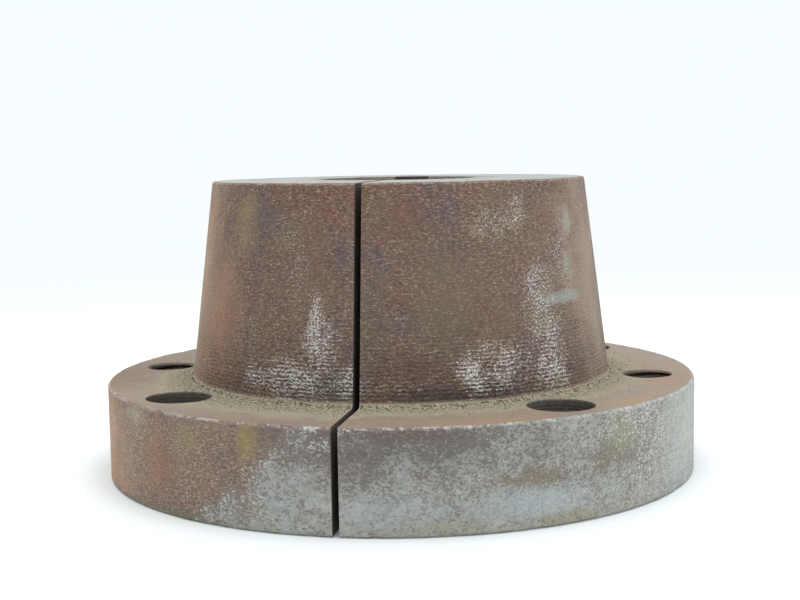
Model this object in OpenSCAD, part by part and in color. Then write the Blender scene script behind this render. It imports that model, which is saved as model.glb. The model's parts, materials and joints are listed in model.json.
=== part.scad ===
// Split taper bushing: a flanged, tapered barrel with one saw cut through its wall. Four cap screws draw it
// into the tapered hub of a pulley, and the cut lets it close on the shaft. Millimetres, +Z from the flange's
// back face to the nose. The saw cut faces -Y and the keyway faces +Y.

/* [Flange] */
// Outer diameter of the flange
flange_d = 101.6; // [98:0.1:110]
// Thickness of the flange
flange_t = 15.9; // [13:0.1:20]
// Chamfer on the flange's two outer edges
flange_chamfer = 0.4; // [0.2:0.1:1]

/* [Tapered barrel] */
// Length from the flange's back face to the nose
overall_l = 49.7; // [40:0.1:60]
// Diameter of the barrel at its nose
nose_d = 64.2; // [56:0.1:66]
// Diameter gained for each millimetre towards the flange
taper = 0.25; // [0.1:0.01:0.25]
// Radius of the fillet where the barrel meets the flange
foot_r = 1.2; // [0.5:0.1:1.5]
// Chamfer round the nose
nose_chamfer = 0.3; // [0.1:0.1:1]

/* [Bore] */
// Diameter of the bore
bore_d = 25.4; // [20:0.1:32]
// Chamfer at both ends of the bore
bore_chamfer = 0.8; // [0.2:0.1:1.5]
// Width of the keyway
keyway_w = 6.35; // [5:0.05:8]
// Depth of the keyway's floor below the bore's wall
keyway_depth = 2.9; // [2:0.1:4]

/* [Saw cut] */
// Width of the saw cut when the bushing is relaxed
split_w = 1.05; // [0.5:0.05:1.6]

/* [Holes in the flange] */
// Diameter of the circle that all the flange's holes lie on
bolt_circle_d = 85.7; // [85:0.1:88]
// Diameter of the four plain holes for the cap screws
clearance_d = 10.3; // [8:0.1:10.8]
// Diameter at the thread crests of the two tapped holes for the jacking screws
jack_d = 7.94; // [6:0.01:9]
// Countersink at both ends of the tapped holes
jack_chamfer = 0.3; // [0.2:0.1:1]

/* [Key set screw] */
// Outer diameter of the set screw's thread
set_screw_d = 6.35; // [5:0.05:8]
// Length of the set screw
set_screw_l = 12.7; // [10:0.1:16]
// Hexagon socket, across its flats
socket_af = 3.18; // [2.5:0.01:3.5]
// Depth of the hexagon socket
socket_depth = 5.5; // [4:0.1:7]
// Distance from the keyway's floor to the screw's point when it is backed off
set_screw_gap = 0.8; // [0.3:0.1:2]

/* [Hidden] */

round_fn = 128;
over = 1;                                     // how far a cutter runs past the face it leaves by
running_gap = 0.05;                           // radial gap round the set screw
flange_r = flange_d / 2;
bore_r = bore_d / 2;
keyway_floor = bore_r + keyway_depth;         // distance from the axis to the keyway's floor
bolt_circle_r = bolt_circle_d / 2;
set_screw_z = flange_t / 2;
set_screw_y = keyway_floor + set_screw_gap;   // where the screw's point is at rest
point_chamfer = 0.8;
cup_r = 1.5;
cup_depth = 0.8;
socket_r = socket_af / sqrt(3);               // a hexagon's corners lie this far from its middle
iron = [0.42, 0.35, 0.31];
black_oxide = [0.16, 0.16, 0.17];

// Radius of the tapered barrel at height z
function barrel_r(z) = nose_d / 2 + (overall_l - z) * taper / 2;

// Half of the turned section, from the axis outwards
module turned_section() {
    polygon([
        [bore_r + bore_chamfer, 0],
        [flange_r - flange_chamfer, 0],
        [flange_r, flange_chamfer],
        [flange_r, flange_t - flange_chamfer],
        [flange_r - flange_chamfer, flange_t],
        [barrel_r(flange_t), flange_t],
        [barrel_r(overall_l - nose_chamfer), overall_l - nose_chamfer],
        [barrel_r(overall_l) - nose_chamfer, overall_l],
        [bore_r + bore_chamfer, overall_l],
        [bore_r, overall_l - bore_chamfer],
        [bore_r, bore_chamfer]
    ]);
    foot_fillet();
}

// The section of the fillet, tangent to the flange's face and to the taper
module foot_fillet() {
    slope = atan(taper / 2);
    centre_z = flange_t + foot_r;
    centre_r = barrel_r(centre_z) + foot_r / cos(slope);
    difference() {
        polygon([
            [barrel_r(flange_t) - over, flange_t - over],
            [centre_r, flange_t - over],
            [centre_r, flange_t],
            [centre_r - foot_r * cos(slope), centre_z - foot_r * sin(slope)],
            [barrel_r(centre_z) - over, centre_z - foot_r * sin(slope)]
        ]);
        translate([centre_r, centre_z]) circle(r = foot_r, $fn = 96);
    }
}

// A plain through hole in the flange, angle degrees round the bolt circle
module clearance_hole(angle) {
    rotate(angle) translate([bolt_circle_r, 0, -over])
        cylinder(d = clearance_d, h = flange_t + foot_r + 2 * over, $fn = round_fn);
}

// A tapped through hole in the flange, countersunk at both ends
module jacking_hole(angle) {
    mouth_d = jack_d + 2 * jack_chamfer;
    rotate(angle) translate([bolt_circle_r, 0, 0]) {
        translate([0, 0, -over]) cylinder(d = jack_d, h = flange_t + 2 * over, $fn = round_fn);
        cylinder(d1 = mouth_d, d2 = jack_d, h = jack_chamfer, $fn = round_fn);
        translate([0, 0, flange_t - jack_chamfer])
            cylinder(d1 = jack_d, d2 = mouth_d, h = jack_chamfer, $fn = round_fn);
    }
}

module keyway() {
    translate([-keyway_w / 2, 0, -over]) cube([keyway_w, keyway_floor, overall_l + 2 * over]);
}

module saw_cut() {
    translate([-split_w / 2, -flange_r - over, -over])
        cube([split_w, flange_r + over, overall_l + 2 * over]);
}

// The tapped hole that runs in from the flange's rim to the keyway's floor
module set_screw_hole() {
    translate([0, keyway_floor - over, set_screw_z]) rotate([-90, 0, 0])
        cylinder(r = set_screw_d / 2 + running_gap, h = flange_r - keyway_floor + 2 * over, $fn = round_fn);
}

// The whole bushing, as it is turned, drilled, broached and sawn
module bushing() {
    difference() {
        rotate_extrude($fn = 2 * round_fn) turned_section();
        for (angle = [45 : 90 : 315]) clearance_hole(angle);
        for (angle = [0, 180]) jacking_hole(angle);
        keyway();
        saw_cut();
        set_screw_hole();
    }
}

// The half of space on one side of the plane x = 0; side is -1 or 1
module half_space(side) {
    reach = flange_r + over;
    translate([side < 0 ? -reach : 0, -reach, -over]) cube([reach, 2 * reach, overall_l + 2 * over]);
}

// The bushing is one piece of iron. It is cut behind the keyway, where it bends, so that the halves can close.
module bushing_left_half() {
    color(iron) intersection() {
        bushing();
        half_space(-1);
    }
}

module bushing_right_half() {
    color(iron) intersection() {
        bushing();
        half_space(1);
    }
}

// Headless screw along +Y: a cup point that bears on the key, and a hexagon socket at the outer end
module key_set_screw() {
    r = set_screw_d / 2;
    color(black_oxide) translate([0, set_screw_y, set_screw_z]) rotate([-90, 0, 0]) difference() {
        union() {
            cylinder(r1 = r - point_chamfer, r2 = r, h = point_chamfer, $fn = round_fn);
            translate([0, 0, point_chamfer])
                cylinder(r = r, h = set_screw_l - 1.5 * point_chamfer, $fn = round_fn);
            translate([0, 0, set_screw_l - point_chamfer / 2])
                cylinder(r1 = r, r2 = r - point_chamfer / 2, h = point_chamfer / 2, $fn = round_fn);
        }
        cylinder(r1 = cup_r, r2 = 0, h = cup_depth, $fn = round_fn);
        translate([0, 0, set_screw_l - socket_depth]) cylinder(r = socket_r, h = socket_depth + over, $fn = 6);
    }
}

bushing_left_half();
bushing_right_half();
key_set_screw();
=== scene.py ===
"""Looks for a split taper bushing: worn, rust-brown iron on a pale table.

The metal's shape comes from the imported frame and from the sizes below. Geometry Nodes turn it, cut its
threads, drill and saw it. Its wear is laid out by angle from the saw cut and by height.
"""
import json
import math

import bmesh
import bpy
from mathutils import Euler, Matrix, Vector, noise


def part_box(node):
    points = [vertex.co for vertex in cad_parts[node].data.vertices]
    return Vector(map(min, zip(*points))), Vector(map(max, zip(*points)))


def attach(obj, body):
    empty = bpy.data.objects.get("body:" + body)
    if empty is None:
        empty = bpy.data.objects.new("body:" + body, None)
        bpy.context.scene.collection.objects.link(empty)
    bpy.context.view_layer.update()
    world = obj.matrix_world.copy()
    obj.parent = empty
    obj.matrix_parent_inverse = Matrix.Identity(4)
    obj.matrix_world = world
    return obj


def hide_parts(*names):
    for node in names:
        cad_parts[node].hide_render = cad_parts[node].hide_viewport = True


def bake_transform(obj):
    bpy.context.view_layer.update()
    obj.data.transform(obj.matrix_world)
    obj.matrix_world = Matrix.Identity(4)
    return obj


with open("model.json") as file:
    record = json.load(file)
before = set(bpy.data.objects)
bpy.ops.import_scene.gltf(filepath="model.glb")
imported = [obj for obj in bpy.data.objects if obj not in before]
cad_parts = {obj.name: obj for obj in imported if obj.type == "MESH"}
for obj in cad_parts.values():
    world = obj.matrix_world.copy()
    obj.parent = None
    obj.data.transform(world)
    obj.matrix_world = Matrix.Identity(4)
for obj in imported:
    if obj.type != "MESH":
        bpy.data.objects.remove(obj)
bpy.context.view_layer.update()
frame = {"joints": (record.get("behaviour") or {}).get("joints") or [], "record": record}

MM = 0.001

# ---------- sizes, from the frame
mounts = {mount["name"]: mount for mount in frame["record"]["mounts"]}
right_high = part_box("bushing_right_half")[1]
screw_low, screw_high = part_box("key_set_screw")

flange_r = right_high.x
overall_l = right_high.z
flange_t = 2 * mounts["jacking_hole_right"]["pos_m"][2]
bore_r = mounts["shaft_bore"]["dims"]["r_mm"] * MM
bolt_circle_r = mounts["cap_screw_holes"]["dims"]["pcd_mm"] * MM / 2
clearance_r = mounts["cap_screw_holes"]["dims"]["hole_r_mm"] * MM
jack_r = mounts["jacking_hole_right"]["dims"]["r_mm"] * MM
hinge = next(joint for joint in frame["joints"] if joint["name"] == "split_close")
keyway_floor = hinge["pos_m"][1]
screw_r = (screw_high.x - screw_low.x) / 2
screw_z = (screw_high.z + screw_low.z) / 2
screw_l = screw_high.y - screw_low.y

# ---------- sizes the frame doesn't give
nose_r = 32.1 * MM
taper = 0.125  # gain of radius for each unit towards the flange
foot_r = 1.2 * MM
flange_edge = 0.4 * MM
nose_edge = 0.3 * MM
bore_edge = 0.8 * MM
keyway_w = 6.35 * MM
split_w = 1.05 * MM
set_hole_gap = 0.05 * MM
jack_pitch = 25.4 / 16 * MM
set_pitch = 25.4 / 20 * MM
hole_edge = 0.15 * MM
scribe_z = flange_t * 0.42  # height of the line scribed part of the way round the rim
scribe_w = 0.3 * MM
jack_edge = 0.3 * MM
jack_thread_depth = 0.6 * MM
set_thread_depth = 0.25 * MM  # in the set screw's hole
screw_thread_depth = 0.5 * MM  # on the set screw
crest_trim = 0.05 * MM  # how much of its thread's crest is turned off
point_edge = 0.8 * MM
cup_r = 1.5 * MM
cup_depth = 0.8 * MM
socket_corners = 3.67 * MM
socket_depth = 5.5 * MM
socket_lead = 2.0 * MM  # radius and depth of the cone that leads into the socket
socket_lead_sunk = 0.55  # how much of that cone lies below the screw's end
past = 2 * MM  # how far a cutter runs past the face it leaves by
turns_round = 400  # facets round the bushing
round_facets = 96  # facets round a hole or a cone
thread_facets = 48  # facets round a thread
ridge_share = 0.85  # radius of a thread's three-sided ridge, as a share of its depth
worn_reach = 1.2 * MM  # how far from an edge its nicks reach
scribe_depth = 0.09 * MM
grains_a_side = 2600  # dust grains round each half's foot
smallest_grain = 0.05 * MM
largest_grain = 0.13 * MM
grain_gap = 0.25 * MM  # how far grains keep from a hole's edge
dust_reach = 8 * MM  # how far the thinnest of the dust lies from the foot


# ---------- building node trees
def spaced(values):
    """The same values under names with spaces, as sockets have them."""
    return {label.replace("_", " "): value for label, value in values.items()}


class Tree:
    """A node tree with named inputs and outputs, and short ways to place and join its nodes."""

    def __init__(self, name, kind, inputs=(), outputs=()):
        self.tree = bpy.data.node_groups.new(name, kind)
        for label, socket, default in inputs:
            made = self.tree.interface.new_socket(label, in_out="INPUT", socket_type=socket)
            if default is not None:
                made.default_value = default
        for label, socket in outputs:
            self.tree.interface.new_socket(label, in_out="OUTPUT", socket_type=socket)
        self.given = self.tree.nodes.new("NodeGroupInput").outputs
        self.result = self.tree.nodes.new("NodeGroupOutput").inputs

    def give(self, **results):
        """Feeds the tree's outputs by name."""
        for label, value in spaced(results).items():
            self.feed(self.result[label], value)
        return self.tree

    @classmethod
    def of(cls, owner):
        """The same short ways, for the tree of a material or a world."""
        made = cls.__new__(cls)
        owner.use_nodes = True
        made.tree, made.owner = owner.node_tree, owner
        return made

    def add(self, kind, feeds=None, **options):
        node = self.tree.nodes.new(kind)
        for option, value in options.items():
            setattr(node, option, value)
        return self.fill(node, feeds or {})

    def fill(self, node, feeds):
        for socket, value in feeds.items():
            self.feed(node.inputs[socket], value)
        return node

    def first(self, kind, feeds=None, **options):
        """A node of which only the first output is wanted."""
        return self.add(kind, feeds, **options).outputs[0]

    def feed(self, socket, value):
        if isinstance(value, (list, tuple)) and value and isinstance(value[0], bpy.types.NodeSocket):
            for one in value:
                self.tree.links.new(one, socket)
        elif isinstance(value, bpy.types.NodeSocket):
            self.tree.links.new(value, socket)
        else:
            socket.default_value = value

    def math(self, operation, first, second=0.0):
        return self.first("ShaderNodeMath", {0: first, 1: second}, operation=operation)

    def plus(self, first, second):
        return self.math("ADD", first, second)

    def less(self, first, second):
        return self.math("SUBTRACT", first, second)

    def times(self, first, second):
        return self.math("MULTIPLY", first, second)

    def over(self, first, second):
        return self.math("DIVIDE", first, second)

    def most(self, first, second):
        return self.math("MAXIMUM", first, second)

    def swing(self, value, amount):
        """A value from 0 to 1 as a swing to either side of nought."""
        return self.times(self.less(value, 0.5), amount)

    def hypotenuse(self, first, second):
        return self.math("SQRT", self.plus(self.math("POWER", first, 2.0), self.math("POWER", second, 2.0)))

    def vector(self, operation, first, second=(0, 0, 0)):
        node = self.add("ShaderNodeVectorMath", {0: first, 1: second}, operation=operation)
        return node.outputs["Value" if operation in ("LENGTH", "DOT_PRODUCT", "DISTANCE") else "Vector"]

    def xyz(self, x=0.0, y=0.0, z=0.0):
        return self.first("ShaderNodeCombineXYZ", {"X": x, "Y": y, "Z": z})

    def squeezed(self, point, flatness):
        """A point whose pattern is drawn out round the bushing, and flattened along the bore's axis."""
        return self.vector("MULTIPLY", point, self.xyz(1.0, 1.0, flatness))

    def noise(self, point, size, detail=2.0, roughness=0.5, distortion=0.0):
        """Smooth noise from 0 to 1 whose blotches are about `size` across."""
        feeds = {"Vector": point, "Detail": detail, "Roughness": roughness, "Distortion": distortion}
        feeds["Scale"] = self.over(0.5, size) if isinstance(size, bpy.types.NodeSocket) else 0.5 / size
        return self.add("ShaderNodeTexNoise", feeds).outputs["Fac"]

    def step(self, value, low, high, start=0.0, end=1.0):
        """Rises smoothly from start to end as value goes from low to high."""
        feeds = {"Value": value, "From Min": low, "From Max": high, "To Min": start, "To Max": end}
        return self.first("ShaderNodeMapRange", feeds, interpolation_type="SMOOTHSTEP", clamp=True)

    def mix(self, factor, first, second, blend="MIX"):
        """One colour over another."""
        feeds = {0: factor, 6: first, 7: second}
        return self.add("ShaderNodeMix", feeds, data_type="RGBA", blend_type=blend).outputs[2]

    def blend(self, factor, first, second):
        """One number over another."""
        return self.first("ShaderNodeMix", {0: factor, 2: first, 3: second}, data_type="FLOAT")

    def group(self, tree, **feeds):
        """A group placed in this tree, with its inputs fed by name."""
        kind = "ShaderNodeGroup" if self.tree.type == "SHADER" else "GeometryNodeGroup"
        return self.add(kind, spaced(feeds), node_tree=tree).outputs


GEOMETRY = "NodeSocketGeometry"
FLOAT = "NodeSocketFloat"
INTEGER = "NodeSocketInt"
VECTOR = "NodeSocketVector"
COLOR = "NodeSocketColor"
MATERIAL = "NodeSocketMaterial"
POINT = ("point", VECTOR, None)


def numbers(**defaults):
    """Sockets that take plain numbers, by name."""
    return [(label, FLOAT, value) for label, value in spaced(defaults).items()]


def turned(x, y, z):
    """A rotation in degrees."""
    return Euler((math.radians(x), math.radians(y), math.radians(z)))


def moved(t, shape, place, rotation=(0, 0, 0)):
    """A shape turned and then moved, inside tree t."""
    feeds = {"Geometry": shape, "Translation": place, "Rotation": turned(*rotation)}
    return t.first("GeometryNodeTransform", feeds)


def united(t, *shapes):
    """The solid union of closed shapes, inside tree t."""
    return t.first("GeometryNodeMeshBoolean", {"Mesh 2": list(shapes)}, operation="UNION", solver="MANIFOLD")


def in_scene(name, data):
    """A new object in the scene."""
    made = bpy.data.objects.new(name, data)
    bpy.context.scene.collection.objects.link(made)
    return made


def made_by(tree, name, **inputs):
    """Runs a geometry tree on the start mesh, or on an empty one, and makes its result a plain object."""
    start = inputs.pop("start", None) or bpy.data.meshes.new(name + " start")
    maker = in_scene(name + " maker", start)
    modifier = maker.modifiers.new(name, "NODES")
    modifier.node_group = tree
    sockets = {item.name: item.identifier for item in tree.interface.items_tree if item.in_out == "INPUT"}
    for label, value in spaced(inputs).items():
        modifier[sockets[label]] = value
    shape = bpy.data.meshes.new_from_object(maker.evaluated_get(bpy.context.evaluated_depsgraph_get()))
    bpy.data.objects.remove(maker)
    shape.name = name
    return in_scene(name, shape)


# ---------- the turned profile
def barrel_r(z):
    """Radius of the tapered barrel at height z."""
    return nose_r + (overall_l - z) * taper


def run(start, end, step):
    """Points from start up to, but not including, end, about step apart."""
    start, end = Vector(start), Vector(end)
    count = max(1, round((end - start).length / step))
    return [start.lerp(end, i / count) for i in range(count)]


def foot_arc(points=6):
    """The fillet at the barrel's foot, from the flange's face up to the taper."""
    slope = math.atan(taper)
    centre_z = flange_t + foot_r
    centre_r = barrel_r(centre_z) + foot_r / math.cos(slope)
    first, last = math.radians(270), math.pi + slope
    angles = [first + (last - first) * i / points for i in range(points + 1)]
    return [Vector((centre_r + foot_r * math.cos(a), centre_z + foot_r * math.sin(a))) for a in angles]


def turned_profile():
    """The turned section's outline as (radius, height), counter-clockwise from the bore's lower end."""
    fine, plain, broad = 0.6 * MM, 1.0 * MM, 3 * MM
    arc = foot_arc()
    corners = [
        ((bore_r + bore_edge, 0), broad),
        ((flange_r - flange_edge, 0), flange_edge),
        ((flange_r, flange_edge), plain),
        ((flange_r, scribe_z - scribe_w / 2), scribe_w / 2),
        ((flange_r, scribe_z + scribe_w / 2), plain),
        ((flange_r, flange_t - flange_edge), flange_edge / 2),
        ((flange_r - flange_edge, flange_t), fine),
        (arc[0], None),
        (arc[-1], fine),
        ((barrel_r(overall_l - nose_edge), overall_l - nose_edge), nose_edge / 2),
        ((barrel_r(overall_l) - nose_edge, overall_l), plain),
        ((bore_r + bore_edge, overall_l), bore_edge / 3),
        ((bore_r, overall_l - bore_edge), broad),
        ((bore_r, bore_edge), bore_edge / 3),
    ]
    points = []
    for i, (corner, step) in enumerate(corners):
        following = corners[(i + 1) % len(corners)][0]
        points += arc[:-1] if step is None else run(corner, following, step)
    return points


def profile_mesh():
    points = turned_profile()
    mesh = bpy.data.meshes.new("turned profile")
    edges = [(i, (i + 1) % len(points)) for i in range(len(points))]
    mesh.from_pydata([(p.x, 0, p.y) for p in points], edges, [])
    return mesh


def turning_tree():
    """Turns an outline that lies in the XZ plane round the Z axis."""
    t = Tree("turn round the bore", "GeometryNodeTree",
             [("outline", GEOMETRY, None), ("facets", INTEGER, 64)], [("turned", GEOMETRY)])
    path = t.add("GeometryNodeCurvePrimitiveCircle", {"Resolution": t.given["facets"], "Radius": 1.0})
    outline = t.first("GeometryNodeMeshToCurve", {"Mesh": t.given["outline"]})
    upright = moved(t, outline, (0, 0, 0), (90, 0, 0))
    on_path = moved(t, upright, (-1, 0, 0))
    swept = t.add("GeometryNodeCurveToMesh", {"Curve": path.outputs["Curve"], "Profile Curve": on_path})
    return t.give(turned=t.first("GeometryNodeFlipFaces", {"Mesh": swept.outputs[0]}))


def threaded_rod_tree():
    """A closed rod along +Z with a helical ridge of 60 degree thread round it."""
    t = Tree("threaded rod", "GeometryNodeTree",
             numbers(core_radius=0.003, crest_radius=0.0035, pitch=0.001, length=0.01)
             + [("facets", INTEGER, thread_facets)], [("rod", GEOMETRY)])
    given = t.given
    turns = t.over(given["length"], given["pitch"])
    depth = t.less(given["crest radius"], given["core radius"])
    ridge_r = t.times(depth, ridge_share)
    line_r = t.less(given["crest radius"], ridge_r)
    spiral = t.add("GeometryNodeCurveSpiral", {
        "Resolution": given["facets"], "Rotations": turns, "Start Radius": line_r, "End Radius": line_r,
        "Height": given["length"]})
    level = t.add("GeometryNodeSetCurveNormal", {"Curve": spiral.outputs[0]}, mode="Z_UP")
    triangle = t.add("GeometryNodeCurvePrimitiveCircle", {"Resolution": 3, "Radius": ridge_r})
    section = moved(t, triangle.outputs["Curve"], (0, 0, 0), (0, 0, 180))
    ridge = t.add("GeometryNodeCurveToMesh", {
        "Curve": level.outputs[0], "Profile Curve": section, "Fill Caps": True})
    core = t.add("GeometryNodeMeshCylinder", {
        "Vertices": given["facets"], "Radius": given["core radius"],
        "Depth": t.plus(given["length"], t.times(given["pitch"], 2.0))}, fill_type="TRIANGLE_FAN")
    placed = moved(t, core.outputs["Mesh"], t.xyz(z=t.times(given["length"], 0.5)))
    return t.give(rod=united(t, placed, ridge.outputs[0]))


def cylinder(t, radius, depth, facets=round_facets):
    feeds = {"Vertices": facets, "Radius": radius, "Depth": depth}
    return t.add("GeometryNodeMeshCylinder", feeds, fill_type="TRIANGLE_FAN").outputs["Mesh"]


def cone(t, bottom, top, depth, facets=round_facets):
    """A cone that stands on height 0, from its bottom radius to its top radius."""
    feeds = {"Vertices": facets, "Radius Bottom": bottom, "Radius Top": top, "Depth": depth}
    return t.add("GeometryNodeMeshCone", feeds, fill_type="TRIANGLE_FAN").outputs["Mesh"]


def countersink(t, radius, edge):
    """A cone that opens upwards and breaks the edge of a hole whose mouth is at height 0."""
    return moved(t, cone(t, radius - edge, radius + 2 * edge, 3 * edge), (0, 0, -2 * edge))


def plain_in(t, material, shape):
    """The shape as plain geometry in one material, which is how each tree ends."""
    whole = t.first("GeometryNodeRealizeInstances", {"Geometry": shape})
    return t.first("GeometryNodeSetMaterial", {"Geometry": whole, "Material": material})


def both_mouths(t, radius, edge):
    """Countersinks for the two mouths of a hole through the flange."""
    return [moved(t, countersink(t, radius, edge), (0, 0, flange_t)),
            moved(t, countersink(t, radius, edge), (0, 0, 0), (180, 0, 0))]


def cut_from(t, blank, cutters):
    """The blank without what the cutters cover."""
    return t.first("GeometryNodeMeshBoolean", {"Mesh 1": blank, "Mesh 2": cutters},
                   operation="DIFFERENCE", solver="MANIFOLD")


def box_between(t, low, high):
    low, high = Vector(low), Vector(high)
    cube = t.add("GeometryNodeMeshCube", {"Size": high - low}).outputs["Mesh"]
    return moved(t, cube, (low + high) / 2)


def at_each(t, points, shape):
    """A copy of the shape at each point, as plain geometry."""
    copies = t.add("GeometryNodeInstanceOnPoints", {"Points": points, "Instance": shape})
    return t.first("GeometryNodeRealizeInstances", {"Geometry": copies.outputs[0]})


def thread(t, **sizes):
    """The threaded rod group, placed inside tree t."""
    return t.group(threaded_rod, facets=thread_facets, **sizes)["rod"]


def machining_tree():
    """Drills, taps, broaches and saws the turned blank."""
    t = Tree("drill and saw the blank", "GeometryNodeTree",
             [("blank", GEOMETRY, None), ("material", MATERIAL, None)]
             + numbers(plain_hole_radius=clearance_r, saw_cut_width=split_w), [("bushing", GEOMETRY)])
    ring = t.first("GeometryNodeMeshCircle", {"Vertices": 4, "Radius": bolt_circle_r})
    corners = moved(t, ring, (0, 0, 0), (0, 0, 45))
    sides = t.first("GeometryNodeMeshLine", {
        "Count": 2, "Start Location": (-bolt_circle_r, 0, 0), "Offset": (2 * bolt_circle_r, 0, 0)})

    plain = moved(t, cylinder(t, t.given["plain hole radius"], flange_t + 2 * past), (0, 0, flange_t / 2))
    plain_cuts = [plain, *both_mouths(t, clearance_r, hole_edge)]

    tapped = thread(t, core_radius=jack_r, crest_radius=jack_r + jack_thread_depth, pitch=jack_pitch,
                    length=flange_t + 2 * past)
    tapped_cuts = [moved(t, tapped, (0, 0, -past)), *both_mouths(t, jack_r, jack_edge)]

    set_length = flange_r - keyway_floor + 2 * past
    set_hole_r = screw_r + set_hole_gap
    radial = thread(t, core_radius=set_hole_r, crest_radius=set_hole_r + set_thread_depth,
                    pitch=set_pitch, length=set_length)
    radial = moved(t, radial, (0, keyway_floor - past, screw_z), (-90, 0, 0))
    rim_mouth = moved(t, countersink(t, screw_r, jack_edge), (0, flange_r, screw_z), (-90, 0, 0))

    keyway = box_between(t, (-keyway_w / 2, 0, -past), (keyway_w / 2, keyway_floor, overall_l + past))
    saw = t.xyz(t.given["saw cut width"], flange_r + past, overall_l + 2 * past)
    blade = t.add("GeometryNodeMeshCube", {"Size": saw}).outputs["Mesh"]
    blade = moved(t, blade, (0, -(flange_r + past) / 2, overall_l / 2))

    cutters = [at_each(t, corners, shape) for shape in plain_cuts]
    cutters += [at_each(t, sides, shape) for shape in tapped_cuts]
    cutters += [radial, rim_mouth, keyway, blade]
    cut = cut_from(t, t.given["blank"], cutters)
    return t.give(bushing=plain_in(t, t.given["material"], cut))


def set_screw_tree():
    """A headless screw along +Z: threaded, with a cup point at its foot and a hexagon socket in its top."""
    t = Tree("set screw", "GeometryNodeTree",
             numbers(length=0.0127, socket_across_corners=0.0036) + [("material", MATERIAL, None)],
             [("screw", GEOMETRY)])
    rod = thread(t, core_radius=screw_r - screw_thread_depth, crest_radius=screw_r + crest_trim,
                 pitch=set_pitch, length=screw_l + 2 * set_pitch)
    rod = moved(t, rod, (0, 0, -set_pitch))
    point_r, crown_r = screw_r - point_edge, screw_r - point_edge / 2
    point = cone(t, point_r, point_r + screw_l, screw_l)
    crown = moved(t, cone(t, crown_r, crown_r + screw_l, screw_l), (0, 0, screw_l), (180, 0, 0))
    sleeve = moved(t, cylinder(t, screw_r, screw_l), (0, 0, screw_l / 2))
    body = t.first("GeometryNodeMeshBoolean", {"Mesh 2": [rod, point, crown, sleeve]},
                   operation="INTERSECT", solver="MANIFOLD")

    cup = moved(t, cone(t, cup_r * 2, 0.0, cup_depth * 2, thread_facets), (0, 0, -cup_depth))
    rise = t.xyz(z=t.given["length"])
    socket_r = t.times(t.given["socket across corners"], 0.5)
    socket = moved(t, cylinder(t, socket_r, 2 * socket_depth, 6), rise)
    lead = cone(t, 0.0, socket_lead, socket_lead, thread_facets)
    lead = moved(t, moved(t, lead, (0, 0, -socket_lead * socket_lead_sunk)), rise)
    cut = cut_from(t, body, [cup, socket, lead])
    return t.give(screw=plain_in(t, t.given["material"], cut))


def dust_grains_tree():
    """Grains of dust lying round the foot of the barrel, over part of a turn and clear of every hole."""
    t = Tree("dust grains", "GeometryNodeTree",
             [("count", INTEGER, 100), ("seed", INTEGER, 0), ("material", MATERIAL, None)]
             + numbers(from_angle=0, to_angle=90, reach=dust_reach, smallest=smallest_grain,
                       largest=largest_grain), [("grains", GEOMETRY)])

    def chance(low, high, which):
        draw = t.add("FunctionNodeRandomValue", {2: low, 3: high, 8: t.plus(t.given["seed"], which)},
                     data_type="FLOAT")
        return draw.outputs[1]

    foot_out = barrel_r(flange_t) + foot_r
    turn = t.math("RADIANS", chance(t.given["from angle"], t.given["to angle"], 0))
    spread = t.times(t.math("POWER", chance(0.0, 1.0, 1), 2.2), t.given["reach"])
    radius = t.plus(foot_out - 0.8 * foot_r, spread)
    climb = t.most(t.less(foot_out, radius), 0.0)
    drop = t.math("SQRT", t.less(foot_r ** 2, t.math("POWER", climb, 2.0)))
    x = t.times(radius, t.math("SINE", turn))
    y = t.times(radius, t.times(t.math("COSINE", turn), -1.0))
    z = t.less(flange_t + foot_r, drop)
    scatter = t.first("GeometryNodePoints", {"Count": t.given["count"], "Position": t.xyz(x, y, z)})

    lies_at = t.first("GeometryNodeInputPosition")
    over_hole = 0.0
    holes = [(bolt_circle_r * sx / math.sqrt(2), bolt_circle_r * sy / math.sqrt(2), clearance_r + hole_edge)
             for sx in (-1, 1) for sy in (-1, 1)]
    holes += [(bolt_circle_r * sx, 0, jack_r + jack_edge) for sx in (-1, 1)]
    flat = t.vector("MULTIPLY", lies_at, (1, 1, 0))
    for hole_x, hole_y, hole_r in holes:
        away = t.vector("DISTANCE", flat, (hole_x, hole_y, 0))
        over_hole = t.most(over_hole, t.math("LESS_THAN", away, hole_r + grain_gap))
    feeds = {"Geometry": scatter, "Selection": over_hole}
    kept = t.first("GeometryNodeDeleteGeometry", feeds, domain="POINT")

    grain = t.add("GeometryNodeMeshIcoSphere", {"Radius": 1.0, "Subdivisions": 1}).outputs["Mesh"]
    size = t.blend(t.math("POWER", chance(0.0, 1.0, 2), 2.0), t.given["smallest"], t.given["largest"])
    squash = t.xyz(size, t.times(size, chance(0.6, 1.2, 3)), t.times(size, chance(0.5, 0.9, 4)))
    heading = t.xyz(x=chance(-0.6, 0.6, 5), z=chance(0.0, 6.28, 6))
    placed = t.first("GeometryNodeInstanceOnPoints", {
        "Points": kept, "Instance": grain, "Rotation": heading, "Scale": squash})
    return t.give(grains=plain_in(t, t.given["material"], placed))


# ---------- wear in the metal's own shape
def scribed_to(angle):
    """How deep the scribed line is at an angle from the saw cut, in degrees: it fades in and out."""
    starts, ends, fade = 38, 112, 12
    inside = min(angle - starts, ends - angle) / fade
    return scribe_depth * max(0.0, min(1.0, inside))


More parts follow.
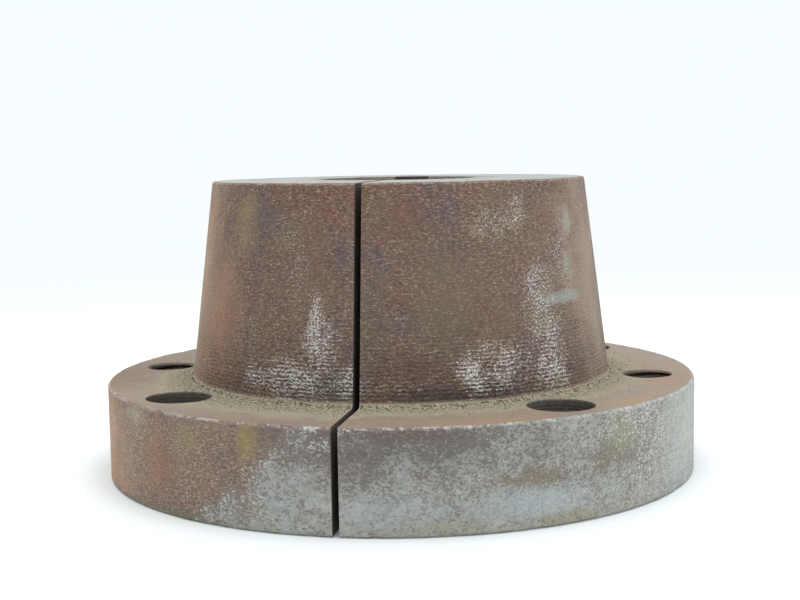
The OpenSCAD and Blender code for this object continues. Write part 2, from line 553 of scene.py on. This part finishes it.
def wear_blank(mesh):
    """Nicks and rounds the blank's outer edges and cuts the scribed line, before it is drilled."""
    edges = [((flange_r, flange_t), 0.22), ((flange_r, 0), 0.3), ((barrel_r(overall_l), overall_l), 0.12)]
    for vertex in mesh.vertices:
        x, y, z = vertex.co
        r = math.hypot(x, y)
        outward = Vector((x / r, y / r, 0))
        for (edge_r, edge_z), depth in edges:
            distance = math.hypot(r - edge_r, z - edge_z)
            if distance < worn_reach:
                broad = noise.noise(vertex.co * 160 + Vector((7, 3, edge_z * 900)))
                nick = noise.noise(vertex.co * 620 + Vector((1, 5, edge_z * 300)))
                amount = max(0.0, broad * 0.7 + nick * 0.8 - 0.12)
                reach = 1 - distance / worn_reach
                down = Vector((0, 0, 1 if edge_z == 0 else -1))
                vertex.co += (down - outward) * (amount * reach * depth * MM)
        if abs(z - scribe_z) < scribe_w / 4 and abs(r - flange_r) < 0.1 * MM:
            angle = math.degrees(math.atan2(x, -y))
            vertex.co -= outward * scribed_to(angle)


def finish_shading(piece, sharp_above=28):
    """Triangulates the many-sided faces that the cuts leave, and keeps real edges crisp."""
    shape = bmesh.new()
    shape.from_mesh(piece.data)
    bmesh.ops.triangulate(shape, faces=[face for face in shape.faces if len(face.verts) > 4])
    for face in shape.faces:
        face.smooth = True
    shape.to_mesh(piece.data)
    shape.free()
    piece.data.set_sharp_from_angle(angle=math.radians(sharp_above))


# ---------- materials
# Patterns are laid out by angle from the saw cut, in degrees, positive towards +X, and by height above the
# flange's back face, in millimetres.
def tone(red, green, blue):
    """A colour as it is seen, 0 to 255, turned into the light it reflects."""
    channels = [c / 255 for c in (red, green, blue)]
    return (*(c / 12.92 if c < 0.04045 else ((c + 0.055) / 1.055) ** 2.4 for c in channels), 1)


def place_group():
    """Where a point lies on the bushing."""
    t = Tree("place on the bushing", "ShaderNodeTree", [],
             [("point", VECTOR), ("angle", FLOAT), ("height", FLOAT), ("radius", FLOAT), ("cloud", FLOAT)])
    spot = t.add("ShaderNodeTexCoord").outputs["Object"]
    point = t.add("ShaderNodeVectorMath", {0: spot, "Scale": 1 / MM}, operation="SCALE").outputs["Vector"]
    parts = t.add("ShaderNodeSeparateXYZ", {0: point}).outputs
    turn = t.math("ARCTAN2", parts["X"], t.times(parts["Y"], -1.0))
    return t.give(point=point, angle=t.math("DEGREES", turn), height=parts["Z"],
                  radius=t.vector("LENGTH", t.vector("MULTIPLY", point, (1, 1, 0))),
                  cloud=t.noise(point, 3.0, 4.0, 0.65))


def patch_group():
    """A soft, ragged patch: 1 in its middle, 0 outside."""
    t = Tree("ragged patch", "ShaderNodeTree",
             numbers(angle=0, height=0, cloud=0.5, at_angle=0, at_height=0, half_width=10, half_height=10,
                     raggedness=1.4, core=0.1), [("patch", FLOAT)])
    g = t.given
    across = t.over(t.less(g["angle"], g["at angle"]), g["half width"])
    up = t.over(t.less(g["height"], g["at height"]), g["half height"])
    reach = t.hypotenuse(across, up)
    torn = t.plus(reach, t.swing(g["cloud"], g["raggedness"]))
    return t.give(patch=t.step(torn, g["core"], 1.15, 1.0, 0.0))


def rust_group():
    """Old rust: browns that run into each other, with a fine grain drawn out round the bushing."""
    t = Tree("old rust", "ShaderNodeTree",
             [POINT, ("brown", COLOR, tone(122, 98, 85)), ("red", COLOR, tone(130, 89, 73)),
              ("plum", COLOR, tone(108, 91, 90)), ("olive", COLOR, tone(121, 104, 80)),
              ("speck color", COLOR, tone(190, 169, 151))] + numbers(grain_contrast=0.3, pale_specks=0.3),
             [("color", COLOR), ("roughness", FLOAT), ("grain", FLOAT)])
    g = t.given
    wide = t.noise(g["point"], 6.0, 3.0, 0.55, 0.5)
    other = t.noise(t.vector("ADD", g["point"], (31, 17, 5)), 4.0, 4.0, 0.65, 0.3)
    drawn = t.squeezed(g["point"], 2.4)
    grain = t.noise(drawn, 0.3, 2.0, 0.85)
    color = t.mix(t.times(t.step(wide, 0.5, 0.68), 0.7), g["brown"], g["red"])
    color = t.mix(t.times(t.step(other, 0.48, 0.66), 0.8), color, g["plum"])
    color = t.mix(t.times(t.step(other, 0.5, 0.36), 0.6), color, g["olive"])
    swing = t.times(t.step(grain, 0.3, 0.7, -1.0, 1.0), g["grain contrast"])
    shade = t.plus(1.0, swing)
    grey = t.first("ShaderNodeCombineColor", {0: shade, 1: shade, 2: shade})
    color = t.mix(1.0, color, grey, "MULTIPLY")
    speck = t.times(t.step(grain, 0.57, 0.68), g["pale specks"])
    color = t.mix(speck, color, g["speck color"])
    return t.give(color=color, roughness=t.step(other, 0.3, 0.7, 0.52, 0.7), grain=grain)


def feed_marks_group():
    """The fine ridges that a turning tool leaves, torn in places."""
    t = Tree("feed marks", "ShaderNodeTree", [POINT] + numbers(along=0, feed=0.6, tearing=0.5),
             [("ridge", FLOAT)])
    g = t.given
    drift = t.noise(g["point"], 1.6, 3.0, 0.65)
    wander = t.swing(drift, t.times(g["tearing"], 1.6))
    phase = t.math("FRACT", t.over(t.plus(g["along"], wander), g["feed"]))
    ridge = t.times(t.math("ABSOLUTE", t.less(phase, 0.5)), 2.0)
    torn = t.noise(t.squeezed(g["point"], 2.2), 0.4, 3.0, 0.7)
    return t.give(ridge=t.blend(g["tearing"], ridge, t.step(torn, 0.3, 0.7)))


def bare_metal_group():
    """Metal that shows where rust has been rubbed off its high spots, with the dark pits left between."""
    t = Tree("bare metal", "ShaderNodeTree",
             [POINT] + numbers(density=0.5, ridge=0.5, ridge_pull=0.3, size=0.2, flatness=1.5, softness=0.1,
                               clumping=0.5),
             [("rubbed", FLOAT), ("gleam", FLOAT), ("pits", FLOAT)])
    g = t.given
    small = t.noise(t.squeezed(g["point"], g["flatness"]), g["size"], 2.0, 0.7)
    clumps = t.noise(t.vector("ADD", g["point"], (11, 3, 47)), 1.1, 3.0, 0.7)
    clumped = t.plus(small, t.swing(clumps, g["clumping"]))
    level = t.plus(clumped, t.swing(g["ridge"], g["ridge pull"]))
    threshold = t.less(0.8, t.times(g["density"], 0.42))
    above = t.less(level, threshold)
    some = t.step(g["density"], 0.0, 0.1)
    # gleam is the brightest core of each bare spot, which the materials paint near-white: real bare metal
    # with a painted glint
    return t.give(rubbed=t.times(t.step(t.over(above, g["softness"]), 0.0, 1.0), some),
                  gleam=t.times(t.step(above, 0.06, 0.16), some),
                  pits=t.times(t.step(level, 0.5, 0.34), some))


def edge_group():
    """How near a point is to one turned edge, broken up as a worn edge is."""
    t = Tree("worn edge", "ShaderNodeTree",
             [POINT] + numbers(radius=0, height=0, edge_radius=50, edge_height=0, reach=0.6),
             [("wear", FLOAT)])
    g = t.given
    out = t.less(g["radius"], g["edge radius"])
    up = t.less(g["height"], g["edge height"])
    far = t.hypotenuse(out, up)
    rub = t.noise(g["point"], 1.5, 4.0, 0.7)
    span = t.times(g["reach"], t.step(rub, 0.4, 0.75, 0.05, 1.4))
    return t.give(wear=t.step(t.over(far, span), 0.4, 1.0, 1.0, 0.0))


def dust_group():
    """Grey-green dust: smooth where it is thin, and speckled with dark grains where it lies thick."""
    t = Tree("settled dust", "ShaderNodeTree",
             [POINT, ("amount", FLOAT, 0.5), ("pale", COLOR, tone(158, 149, 126)),
              ("dark", COLOR, tone(72, 66, 50))], [("color", COLOR), ("cover", FLOAT), ("lump", FLOAT)])
    g = t.given
    lump = t.noise(g["point"], 0.24, 2.0, 0.75)
    soft = t.noise(g["point"], 1.8, 4.0, 0.7)
    heap = t.plus(g["amount"], t.swing(soft, 0.9))
    speck = t.times(t.step(lump, 0.53, 0.36), t.step(heap, 0.35, 0.9))
    shine = t.times(t.step(lump, 0.54, 0.7), t.step(heap, 0.3, 0.8, 0.0, 0.6))
    color = t.mix(shine, t.mix(speck, g["pale"], g["dark"]), tone(196, 188, 162))
    return t.give(color=color, cover=t.step(heap, 0.1, 0.6), lump=lump)


place = place_group()
ragged_patch = patch_group()
old_rust = rust_group()
feed_marks = feed_marks_group()
bare_metal = bare_metal_group()
worn_edge = edge_group()
settled_dust = dust_group()

top_mm, flange_mm, rim_mm, nose_mm = overall_l / MM, flange_t / MM, flange_r / MM, nose_r / MM

# Stains as (angle, height, half width, half height, colour, strength)
barrel_stains = [
    (-66, 31, 22, 40, (192, 152, 118), 0.7),
    (-46, 28, 13, 17, (166, 124, 96), 0.8),
    (-36, 44.5, 7, 5.5, (158, 138, 96), 0.65),
    (-28, 44, 10, 4, (104, 92, 88), 0.6),
    (-12, 39, 6, 9, (128, 96, 80), 0.5),
    (-10, 33, 8, 5, (124, 96, 80), 0.5),
    (-5, 19.5, 10, 3.5, (104, 106, 100), 0.6),
    (5, 30, 5, 20, (104, 94, 90), 0.4),
    (12, 44, 9, 4.5, (126, 90, 76), 0.6),
    (14, 22, 12, 3, (112, 82, 76), 0.6),
    (22, 31, 12, 12, (122, 104, 84), 0.7),
    (36, 26, 9, 7, (126, 100, 78), 0.7),
    (25, 17.5, 22, 2.2, (66, 56, 54), 0.8),
    (58, 44, 10, 5, (136, 104, 88), 0.6),
    (76, 33, 17, 26, (166, 142, 122), 0.8),
    (58.5, 30.9, 12, 1.3, (160, 164, 158), 0.8),
    (66, 43, 3.0, 2.5, (172, 172, 160), 0.6),
    (64, 36, 3.5, 2.5, (160, 156, 138), 0.6),
    (140, 34, 30, 18, (128, 102, 82), 0.6),
    (-130, 30, 34, 20, (122, 102, 86), 0.6),
    (178, 22, 18, 7, (100, 88, 82), 0.7),
]
# Bare metal on the barrel, as (angle, height, half width, half height, density)
barrel_flecks = [
    (-9, 24, 10, 12, 0.8),
    (-11, 28, 4.5, 10, 0.9),
    (-16, 20, 22, 6, 0.86),
    (-2, 20, 8, 6, 0.8),
    (-16, 36, 8, 10, 0.55),
    (-22, 43, 16, 8, 0.5),
    (-30, 28, 16, 14, 0.46),
    (-27, 19.5, 10, 5, 0.74),
    (36, 22, 20, 8, 0.74),
    (29, 20.5, 8, 6.5, 0.94),
    (50, 31, 12, 13, 0.76),
    (44, 44.5, 8, 7, 0.72),
    (34, 43, 14, 7, 0.62),
    (60, 38, 12, 14, 0.62),
    (53, 20, 15, 7.5, 0.78),
    (53, 26, 13, 9, 0.76),
    (0, 19, 34, 4, 0.5),
    (0, 32, 70, 30, 0.42),
    (150, 26, 26, 12, 0.76),
    (120, 40, 14, 9, 0.6),
    (-110, 36, 24, 9, 0.66),
    (-150, 21, 18, 6, 0.78),
]
rim_stains = [
    (-64, 8, 20, 26, (188, 144, 106), 0.75),
    (-30, 15.6, 40, 1.2, (130, 112, 108), 0.5),
    (-15.3, 13.2, 2.6, 3.2, (164, 146, 84), 0.75),
    (-44, 14.2, 4.5, 1.6, (166, 156, 128), 0.7),
    (-28.5, 12.4, 4, 2.6, (142, 130, 92), 0.6),
    (-36, 8, 6, 7, (150, 108, 78), 0.6),
    (12, 15, 11, 2.0, (116, 92, 84), 0.9),
    (12, 13, 34, 6, (98, 92, 88), 0.6),
    (-6, 12, 9, 6, (122, 108, 102), 0.4),
    (52, 12, 6, 4, (150, 148, 120), 0.7),
    (34, 7.4, 9, 2.2, (130, 118, 98), 0.7),
    (47, 8.4, 6, 2.2, (126, 118, 98), 0.6),
    (16, 1.2, 9, 1.6, (146, 140, 110), 0.6),
    (41, 1.0, 9, 1.6, (142, 134, 106), 0.7),
    (33, 4.2, 14, 2.8, (172, 184, 190), 0.6),
    (10, 4.0, 14, 3.0, (158, 166, 170), 0.5),
    (-30, 0.4, 30, 1.3, (120, 118, 98), 0.8),
    (74, 9, 14, 12, (190, 192, 184), 0.45),
    (130, 8, 20, 6, (134, 110, 90), 0.7),
]
# Stains on the flange's upper face, and one darker patch at the far left, with the radius in place of the
# height
flange_patches = [
    # Darker towards the far left
    (-80, 49, 30, 9, (124, 98, 78), 0.9),
    (-110, 47, 30, 8, (134, 116, 98), 0.6),
    (24, 49.5, 16, 3.5, (162, 130, 106), 0.6),
    (60, 48.5, 8, 2.5, (164, 126, 94), 0.7),
    (84, 47, 12, 4, (152, 116, 92), 0.7),
    (-30, 50, 22, 3, (136, 110, 98), 0.6),
    (150, 46, 24, 6, (146, 112, 90), 0.5),
]
# Rust left on the rim, as (angle, height, half width, half height, amount)
rim_rust = [
    (-18, 15, 18, 4.5, 0.6),
    (-6, 12.5, 9, 5, 0.52),
    (14, 14.0, 28, 5.0, 0.5),
    (4, 11, 7, 6, 0.5),
    (34, 7.6, 13, 2.6, 0.52),
    (50, 9, 13, 6, 0.46),
    (30, 9, 60, 12, 0.3),
]


def patch_at(t, spot, angle, height, half_width, half_height, **how):
    """A ragged patch round one place on the bushing."""
    return t.group(ragged_patch, angle=spot["angle"], height=spot["height"], cloud=spot["cloud"],
                   at_angle=angle, at_height=height, half_width=half_width, half_height=half_height,
                   **how)["patch"]


def stained(t, color, spot, stains):
    """Lays each stain over a colour."""
    for *place_and_size, stain, strength in stains:
        color = t.mix(t.times(patch_at(t, spot, *place_and_size), strength), color, tone(*stain))
    return color


def highest(t, spot, patches, raggedness):
    """The highest amount that any of the patches has at a point."""
    found = 0.0
    for *place_and_size, amount in patches:
        found = t.most(found, t.times(patch_at(t, spot, *place_and_size, raggedness=raggedness), amount))
    return found


def new_finish(name):
    """The tree of a new material, and where its points lie."""
    t = Tree.of(bpy.data.materials.new(name))
    return t, t.group(place)


def finished(t, color, roughness, metallic, height, depth):
    """The tree's material, once its surface is fed. Depth is the relief's full height in millimetres."""
    bump = t.first("ShaderNodeBump", {"Height": height, "Distance": depth * MM, "Strength": 1.0})
    t.fill(t.tree.nodes["Principled BSDF"],
           {"Base Color": color, "Roughness": roughness, "Metallic": metallic, "Normal": bump})
    return t.owner


def wear_at(t, spot, radius, height, reach):
    return t.group(worn_edge, point=spot["point"], radius=spot["radius"], height=spot["height"],
                   edge_radius=radius, edge_height=height, reach=reach)["wear"]


def barrel_iron():
    """Turned taper: brown, with feed marks that are rubbed bright low down, and dust at its foot."""
    t, spot = new_finish("turned barrel")
    point, height = spot["point"], spot["height"]
    rust = t.group(old_rust, point=point, grain_contrast=0.36, pale_specks=0.5)
    marks = t.group(feed_marks, point=point, along=height, feed=0.62, tearing=0.55)["ridge"]
    low_down = t.step(height, 17.0, 33.0, 1.0, 0.2)
    metal = t.group(bare_metal, point=point, density=highest(t, spot, barrel_flecks, 1.1), ridge=marks,
                    ridge_pull=t.times(low_down, 0.3), size=0.16, softness=0.08, clumping=0.18, flatness=2.2)
    color = stained(t, rust["color"], spot, barrel_stains)
    color = t.mix(1.0, color, t.step(rust["grain"], 0.3, 0.7, 0.87, 1.13), "MULTIPLY")
    groove = t.times(t.step(marks, 0.5, 0.1), t.times(low_down, 0.38))
    color = t.mix(groove, color, tone(58, 50, 47))
    color = t.mix(t.times(metal["pits"], t.times(low_down, 0.75)), color, tone(44, 40, 38))
    color = t.mix(t.times(metal["rubbed"], 0.85), color, tone(176, 166, 154))
    # Painted glint: the cores of the bare flecks are painted near-white, brighter than the bare iron itself
    color = t.mix(metal["gleam"], color, tone(240, 238, 234))
    worn = wear_at(t, spot, nose_mm, top_mm, 0.5)
    color = t.mix(t.times(worn, 0.4), color, tone(176, 168, 156))
    foot = t.step(t.less(height, flange_mm), 0.1, 1.15, 1.0, 0.0)
    dust = t.group(settled_dust, point=point, amount=foot)
    color = t.mix(dust["cover"], color, dust["color"])
    shine = t.times(t.most(metal["gleam"], t.times(metal["rubbed"], 0.4)), t.less(1.0, dust["cover"]))
    relief = t.plus(t.times(marks, t.plus(low_down, 0.35)),
                    t.plus(rust["grain"], t.times(dust["lump"], t.times(foot, 3.0))))
    return finished(t, color, t.blend(shine, rust["roughness"], 0.36), t.times(shine, 0.7), relief, 0.05)


def rim_iron():
    """The flange's rim: brown, but rubbed to grey steel from the saw cut round to the right."""
    t, spot = new_finish("flange rim")
    point, height = spot["point"], spot["height"]
    rust = t.group(old_rust, point=point, grain_contrast=0.3, pale_specks=0.6, brown=tone(136, 112, 96),
                   red=tone(144, 104, 84), plum=tone(126, 108, 102), olive=tone(138, 116, 92))
    slant = t.less(spot["angle"], t.times(t.less(height, 8.0), 1.3))
    torn = t.plus(slant, t.swing(spot["cloud"], 26.0))
    left_rust = t.step(torn, -27.0, -3.0, 1.0, 0.16)
    full_rust = t.most(left_rust, t.step(torn, 88.0, 116.0))
    amount = t.most(full_rust, highest(t, spot, rim_rust, 1.2))
    metal = t.group(bare_metal, point=point, density=t.less(1.35, t.times(amount, 1.25)), size=0.24,
                    flatness=1.3, softness=0.2, clumping=0.45)
    cool = t.step(spot["cloud"], 0.36, 0.62)
    steel = t.mix(cool, tone(150, 146, 135), tone(149, 155, 155))
    mottle = t.noise(t.squeezed(point, 1.4), 0.7, 4.0, 0.75)
    steel = t.mix(t.step(mottle, 0.52, 0.36, 0.0, 0.8), steel, tone(106, 99, 92))
    steel = t.mix(t.step(mottle, 0.53, 0.66, 0.0, 0.65), steel, tone(186, 188, 182))
    streaks = t.noise(t.squeezed(point, 3.0), 0.42, 4.0, 0.75)
    speckled = patch_at(t, spot, 56, 11, 14, 11)
    grit = t.noise(point, 0.16, 2.0, 0.8)
    steel = t.mix(t.step(streaks, 0.5, 0.7, 0.0, 0.65), steel, tone(200, 202, 198))
    steel = t.mix(t.step(streaks, 0.46, 0.28, 0.0, 0.6), steel, tone(124, 124, 119))
    steel = stained(t, steel, spot, rim_stains)
    steel = t.mix(t.times(speckled, t.step(grit, 0.5, 0.42)), steel, tone(88, 82, 76))
    steel = t.mix(t.times(speckled, t.step(grit, 0.52, 0.62)), steel, tone(232, 230, 226))
    brown = t.mix(t.step(full_rust, 0.8, 0.3, 0.0, 0.7), rust["color"], tone(132, 128, 120))
    brown = stained(t, brown, spot, rim_stains)
    brown = t.mix(1.0, brown, t.step(rust["grain"], 0.3, 0.7, 0.84, 1.16), "MULTIPLY")
    color = t.mix(t.times(metal["rubbed"], 0.92), brown, steel)
    # Painted glint: the cores of the bare patches are painted off-white, brighter than the bare steel itself
    color = t.mix(t.times(metal["gleam"], t.step(full_rust, 0.2, 0.6, 0.25, 0.8)), color,
                  tone(206, 205, 198))
    # The worn edges are lightened: real wear, and along the top edge also a painted highlight where it faces
    # the light above
    worn = t.most(wear_at(t, spot, rim_mm - 0.2, flange_mm, 0.6), wear_at(t, spot, rim_mm, 0.2, 0.4))
    # A painted highlight on the top edge just left of the saw cut, where that edge is lightened most
    edge_highlight_patch = patch_at(t, spot, -17, flange_mm, 13, 3)
    color = t.mix(t.times(worn, t.plus(0.35, t.times(edge_highlight_patch, 0.6))), color, tone(206, 202, 196))
    shine = t.most(metal["rubbed"], worn)
    return finished(t, color, t.blend(shine, rust["roughness"], 0.46), t.times(shine, 0.35),
                    t.plus(rust["grain"], t.times(metal["rubbed"], 0.5)), 0.04)


def flange_iron():
    """The flange's upper face: a tan bloom of old rust, dusty towards the foot of the barrel."""
    t, spot = new_finish("flange face")
    point, radius = spot["point"], spot["radius"]
    rust = t.group(old_rust, point=point, brown=tone(144, 128, 111), red=tone(151, 122, 100),
                   plum=tone(140, 120, 112), olive=tone(148, 132, 108), grain_contrast=0.12, pale_specks=0.1)
    front_left = t.times(t.step(spot["angle"], -70.0, -40.0), t.step(spot["angle"], -1.0, 4.0, 1.0, 0.0))
    spread = t.blend(front_left, 46.0, 50.5)
    dust = t.group(settled_dust, point=point, amount=t.step(radius, spread, 36.5))
    face = {"angle": spot["angle"], "height": radius, "cloud": spot["cloud"]}
    color = stained(t, rust["color"], face, flange_patches)
    color = t.mix(t.times(dust["cover"], 0.95), color, dust["color"])
    # The outer edge is lightened: real wear, and also a painted highlight where it faces the light above
    worn = wear_at(t, spot, rim_mm - 0.2, flange_mm, 0.9)
    color = t.mix(t.times(worn, 0.35), color, tone(186, 180, 172))
    lump = t.times(dust["lump"], t.step(radius, 44.0, 37.0, 0.3, 3.0))
    relief = t.plus(rust["grain"], lump)
    return finished(t, color, t.blend(dust["cover"], 0.6, 0.9), t.times(worn, 0.4), relief, 0.05)


def faced_iron():
    """The two faced ends: clean metal with the tool's rings, and a little brown."""
    t, spot = new_finish("faced metal")
    point, radius = spot["point"], spot["radius"]
    rust = t.group(old_rust, point=point)
    rings = t.group(feed_marks, point=point, along=radius, feed=0.45, tearing=0.15)["ridge"]
    color = t.mix(t.step(rings, 0.2, 0.8), tone(150, 149, 142), tone(176, 176, 170))
    patchy = t.step(spot["cloud"], 0.54, 0.7, 0.0, 0.7)
    color = t.mix(patchy, color, rust["color"])
    inner_edge = t.times(t.step(radius, 17.5, 14.0), 0.5)
    color = t.mix(inner_edge, color, tone(118, 110, 98))
    return finished(t, color, t.blend(patchy, 0.42, 0.65), t.step(patchy, 0.0, 0.7, 0.45, 0.0),
                    t.plus(rings, rust["grain"]), 0.03)


def inner_iron():
    """Bore, keyway, saw cut and holes: dark scale, with a little dust near the flange's upper face."""
    t, spot = new_finish("inner walls")
    point, height, radius = spot["point"], spot["height"], spot["radius"]
    rust = t.group(old_rust, point=point, brown=tone(101, 96, 89), red=tone(108, 92, 80),
                   plum=tone(80, 78, 76), olive=tone(94, 91, 83), grain_contrast=0.3, pale_specks=0.15)
    marks = t.group(feed_marks, point=point, along=height, feed=0.5, tearing=0.3)["ridge"]
    color = t.mix(t.step(marks, 0.5, 0.1, 0.0, 0.25), rust["color"], tone(46, 43, 40))
    mouth = t.step(t.less(flange_mm, height), 1.2, 0.0)
    dust = t.group(settled_dust, point=point, amount=t.times(mouth, t.step(radius, 34.0, 36.0)))
    color = t.mix(t.times(dust["cover"], 0.2), color, dust["color"])
    return finished(t, color, rust["roughness"], 0.15, t.plus(marks, rust["grain"]), 0.04)


def blackened_steel():
    """The set screw: black oxide, rubbed bright on its crests and corners."""
    t, spot = new_finish("black oxide")
    point = spot["point"]
    film = t.noise(point, 0.9, 3.0, 0.6)
    color = t.mix(t.step(film, 0.35, 0.65), tone(46, 46, 49), tone(66, 62, 58))
    across = t.vector("MULTIPLY", t.vector("SUBTRACT", point, (0, 0, screw_z / MM)), (1, 0, 1))
    from_axis = t.vector("LENGTH", across)
    crest = t.step(from_axis, 2.75, 3.1)
    metal = t.group(bare_metal, point=point, density=0.24, size=0.3, flatness=1.0)
    rust = t.group(old_rust, point=point)
    color = t.mix(t.step(spot["cloud"], 0.56, 0.7, 0.0, 0.5), color, rust["color"])
    color = t.mix(t.times(crest, 0.75), color, tone(126, 125, 124))
    color = t.mix(metal["rubbed"], color, tone(150, 148, 144))
    return finished(t, color, t.step(film, 0.3, 0.7, 0.32, 0.5), t.blend(metal["rubbed"], 0.5, 0.9),
                    rust["grain"], 0.02)


def grain_grit():
    """Dust grains: tan, olive and nearly black, each its own shade."""
    t, spot = new_finish("dust grains")
    shade = t.noise(spot["point"], 0.35, 1.0, 0.5)
    dust = t.group(settled_dust, point=spot["point"], amount=0.3)
    color = t.mix(t.step(shade, 0.42, 0.48), tone(88, 80, 62), dust["color"])
    color = t.mix(t.step(shade, 0.54, 0.6), color, tone(196, 186, 156))
    return finished(t, color, 0.9, 0.0, dust["lump"], 0.01)


def surface_kind(center, normal):
    """Which of the bushing's surfaces a face belongs to, from its middle and its normal."""
    x, y, z = (c / MM for c in center)
    r = math.hypot(x, y)
    level = abs(normal.z) > 0.95
    outward = (normal.x * x + normal.y * y) / r > 0.3
    close, inside_foot, worn_back = 0.1, 37.0, 0.6
    if level and (z > top_mm - close or z < close):
        return "faced"
    if level and abs(z - flange_mm) < close and r > inside_foot:
        return "flange"
    if outward and r > rim_mm - worn_back:
        return "rim"
    if outward and z > flange_mm and r > barrel_r(z * MM) / MM - 0.5:
        return "barrel"
    return "inner"


surfaces = {"barrel": barrel_iron(), "rim": rim_iron(), "flange": flange_iron(), "faced": faced_iron(),
            "inner": inner_iron()}


def finish_surfaces(piece):
    """Gives each face of the bushing the material of its surface."""
    piece.data.materials.clear()
    order = list(surfaces)
    for material in surfaces.values():
        piece.data.materials.append(material)
    for face in piece.data.polygons:
        face.material_index = order.index(surface_kind(face.center, face.normal))


# ---------- pieces
threaded_rod = threaded_rod_tree()

blank = made_by(turning_tree(), "blank", start=profile_mesh(), facets=turns_round)
wear_blank(blank.data)
bushing = made_by(machining_tree(), "bushing", start=blank.data, material=surfaces["inner"])
bpy.data.objects.remove(blank)
finish_shading(bushing)
finish_surfaces(bushing)
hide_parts("bushing_left_half", "bushing_right_half")
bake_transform(bushing)

set_screw = made_by(set_screw_tree(), "set_screw", length=screw_l, socket_across_corners=socket_corners,
                    material=blackened_steel())
screw_place = Matrix.Translation((0, screw_low.y, screw_z)) @ turned(-90, 0, 0).to_matrix().to_4x4()
set_screw.data.transform(screw_place)
finish_shading(set_screw)
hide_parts("key_set_screw")
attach(set_screw, "set_screw")

grains_tree, grit = dust_grains_tree(), grain_grit()
for side, body, from_angle, to_angle, seed in (("left", "left_half", -179.5, -1.3, 11),
                                               ("right", "right_half", 1.3, 179.5, 23)):
    grains = made_by(grains_tree, "foot_dust_" + side, count=grains_a_side, from_angle=from_angle,
                     to_angle=to_angle, reach=dust_reach, seed=seed, material=grit)
    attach(grains, body)


# ---------- floor, light and camera
def table():
    """A pale floor that fades into the white room before it reaches the horizon.

    From beneath it isn't there, and it lets light through to the face that stands on it.
    """
    spokes, rim, below = 96, 0.5, 0.02 * MM
    fades_from, fades_to = 0.14, 0.42
    corners = [(rim * math.cos(2 * math.pi * i / spokes), rim * math.sin(2 * math.pi * i / spokes), -below)
               for i in range(spokes)]
    mesh = bpy.data.meshes.new("table")
    mesh.from_pydata(corners, [], [list(range(spokes))])
    t = Tree.of(bpy.data.materials.new("pale floor"))
    spot = t.add("ShaderNodeTexCoord").outputs["Object"]
    tint = t.noise(spot, 0.3, 2.0)
    color = t.mix(tint, (0.9, 0.935, 0.95, 1), (0.92, 0.95, 0.96, 1))
    out = t.vector("LENGTH", spot)
    faded = t.step(out, fades_from, fades_to, 1.0, 0.0)
    under = t.add("ShaderNodeNewGeometry").outputs["Backfacing"]
    solid = t.times(faded, t.less(1.0, under))
    path = t.add("ShaderNodeLightPath").outputs
    covered = t.step(out, flange_r - 0.4 * MM, flange_r - 0.3 * MM, 1.0, 0.0)
    touching = t.step(path["Ray Length"], 0.2 * MM, 0.4 * MM, 1.0, 0.0)
    bounced = t.less(1.0, path["Is Camera Ray"])
    leak = t.times(t.times(covered, touching), bounced)
    alpha = t.times(solid, t.less(1.0, leak))
    t.fill(t.tree.nodes["Principled BSDF"], {"Base Color": color, "Roughness": 0.75, "Alpha": alpha})
    mesh.materials.append(t.owner)
    in_scene("table", mesh)


def studio_light():
    """A white room, brighter behind and to the right of the bushing, and one soft light above."""
    world = bpy.data.worlds.new("white room")
    t = Tree.of(world)
    way = t.add("ShaderNodeTexCoord").outputs["Generated"]
    toward = t.vector("DOT_PRODUCT", way, Vector((0.2, 0.8, 0.5)).normalized())
    seen = t.add("ShaderNodeLightPath").outputs["Is Camera Ray"]
    strength = t.blend(seen, t.step(toward, -0.9, 0.9, 0.3, 1.05), 1.0)
    t.fill(t.tree.nodes["Background"], {"Color": (0.935, 0.988, 1.0, 1), "Strength": strength})
    bpy.context.scene.world = world

    place, aim, side, power = Vector((0.05, -0.15, 0.75)), Vector((0, 0, 0.02)), 0.6, 3.5
    light = bpy.data.lights.new("overhead", "AREA")
    light.shape = "RECTANGLE"
    light.size = light.size_y = side
    light.energy = power
    lamp = in_scene("overhead", light)
    lamp.location = place
    lamp.rotation_euler = (aim - place).to_track_quat("-Z", "Y").to_euler()


def camera():
    """Stands back from the bore's axis, a little to the right of the saw cut, and looks slightly down."""
    turn, down, tilt = math.radians(10.9), math.radians(6.3), math.radians(-0.88)
    away, height = 4.643 * flange_r, 1.07 * flange_r
    lens = bpy.data.cameras.new("camera")
    lens.lens = 60.6
    lens.sensor_width = 36
    eye = in_scene("camera", lens)
    eye.location = (away * math.sin(turn), -away * math.cos(turn), height)
    level = Euler((math.pi / 2 - down, 0, turn)).to_matrix()
    eye.rotation_euler = (level @ Matrix.Rotation(tilt, 3, "Z")).to_euler()
    bpy.context.scene.camera = eye


table()
studio_light()
camera()
bpy.context.scene.view_settings.view_transform = "Standard"
